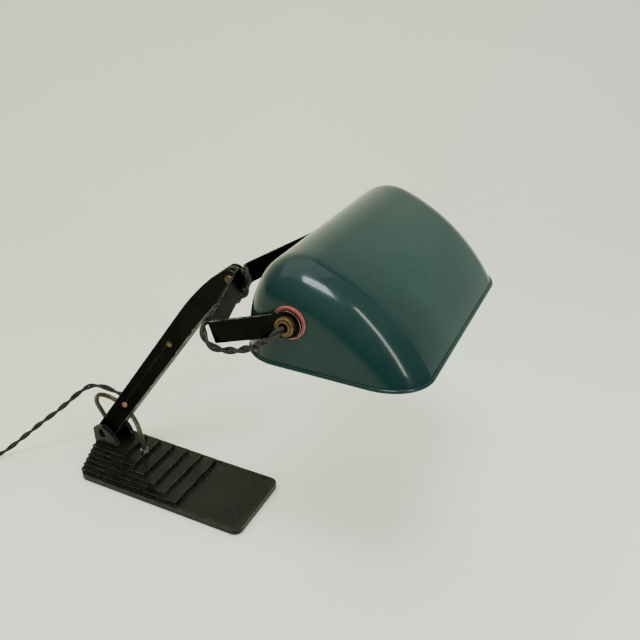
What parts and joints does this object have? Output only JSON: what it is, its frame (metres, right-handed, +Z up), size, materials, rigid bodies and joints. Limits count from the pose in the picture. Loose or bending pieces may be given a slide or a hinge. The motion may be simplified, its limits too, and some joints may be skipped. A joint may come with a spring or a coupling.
{
  "type": "swing arm desk lamp",
  "caption": "Desk lamp with a stepped cast foot, a curved channel arm on a bent guide rod, and a long enamelled hood held in a forked yoke.",
  "frame": {"origin": "centre of the foot's underside", "axes": "+X towards the front, where the hood reaches, +Y across the foot along the hood's length, +Z up"},
  "size_m": [0.5687, 0.3404, 0.3361],
  "materials": {
    "black_iron": "glossy black paint over cast iron",
    "felt": "worn felt",
    "steel_rod": "bare, slightly tarnished steel",
    "steel": "plain steel",
    "black_steel": "black enamel, worn",
    "teal_enamel": "glossy dark green-blue enamel, white inside",
    "brass": "aged brass",
    "copper_screw": "copper coloured screw",
    "fibre": "red-brown vulcanised fibre",
    "porcelain": "white porcelain",
    "bakelite": "dark bakelite",
    "flex": "black twisted flex",
    "tie": "cotton tape",
    "bulb_glass": "clear glass"
  },
  "bodies": {
    "foot": {"foot_casting": "black_iron", "base_felt": "felt", "guide_rod": "steel_rod", "rod_nut": "steel", "rod_collar": "steel", "hinge_pin": "black_steel", "hinge_nut": "steel", "hinge_washers": "black_steel", "eye_spacers": "steel", "cord_tube": "flex", "cord_coil": "flex", "cord_tie": "tie", "plug_lead": "flex", "plug_body": "bakelite", "plug_pins": "brass", "plug_screw": "brass"},
    "arm": {"arm_channel": "black_steel", "arm_rivet": "brass", "clamp_jaws": "brass", "jaw_screw": "copper_screw", "jaw_nut": "brass", "elbow_screw": "brass", "elbow_nut": "brass", "elbow_washers": "fibre", "flex_clips": "brass", "flex_arm": "flex", "flex_elbow": "flex"},
    "yoke": {"yoke_strip": "black_steel", "knuckle": "black_steel", "knuckle_rivets": "steel", "flex_yoke": "flex"},
    "shade": {"shade_shell": "teal_enamel", "pivot_nipple": "brass", "ring_nut": "brass", "lock_nut": "brass", "fibre_washers": "fibre", "far_screw": "brass", "far_nut": "brass", "holder_cap": "brass", "holder_shell": "brass", "holder_core": "porcelain", "holder_contacts": "brass", "bulb_cap": "brass", "bulb_contact": "steel", "bulb_glass": "bulb_glass"},
    "push_bar": {"push_bar": "bakelite"}
  },
  "joints": [
    {"name": "arm_hinge", "type": "hinge", "parent": "foot", "child": "arm", "pos_m": [-0.085, 0, 0.0475], "axis": [0, 1, 0], "range_deg": [-25, 25], "deforming": ["cord_tube"]},
    {"name": "elbow_hinge", "type": "hinge", "parent": "arm", "child": "yoke", "pos_m": [0.08438, 0, 0.26298], "axis": [0, 1, 0], "range_deg": [-45, 30], "deforming": ["flex_elbow"]},
    {"name": "shade_tilt", "type": "hinge", "parent": "yoke", "child": "shade", "pos_m": [0.19747, 0, 0.29853], "axis": [0, 1, 0], "range_deg": [-60, 60]},
    {"name": "push_switch", "type": "slide", "parent": "shade", "child": "push_bar", "axis": [1, 0, 0], "range_m": [0, 0.006]}
  ]
}
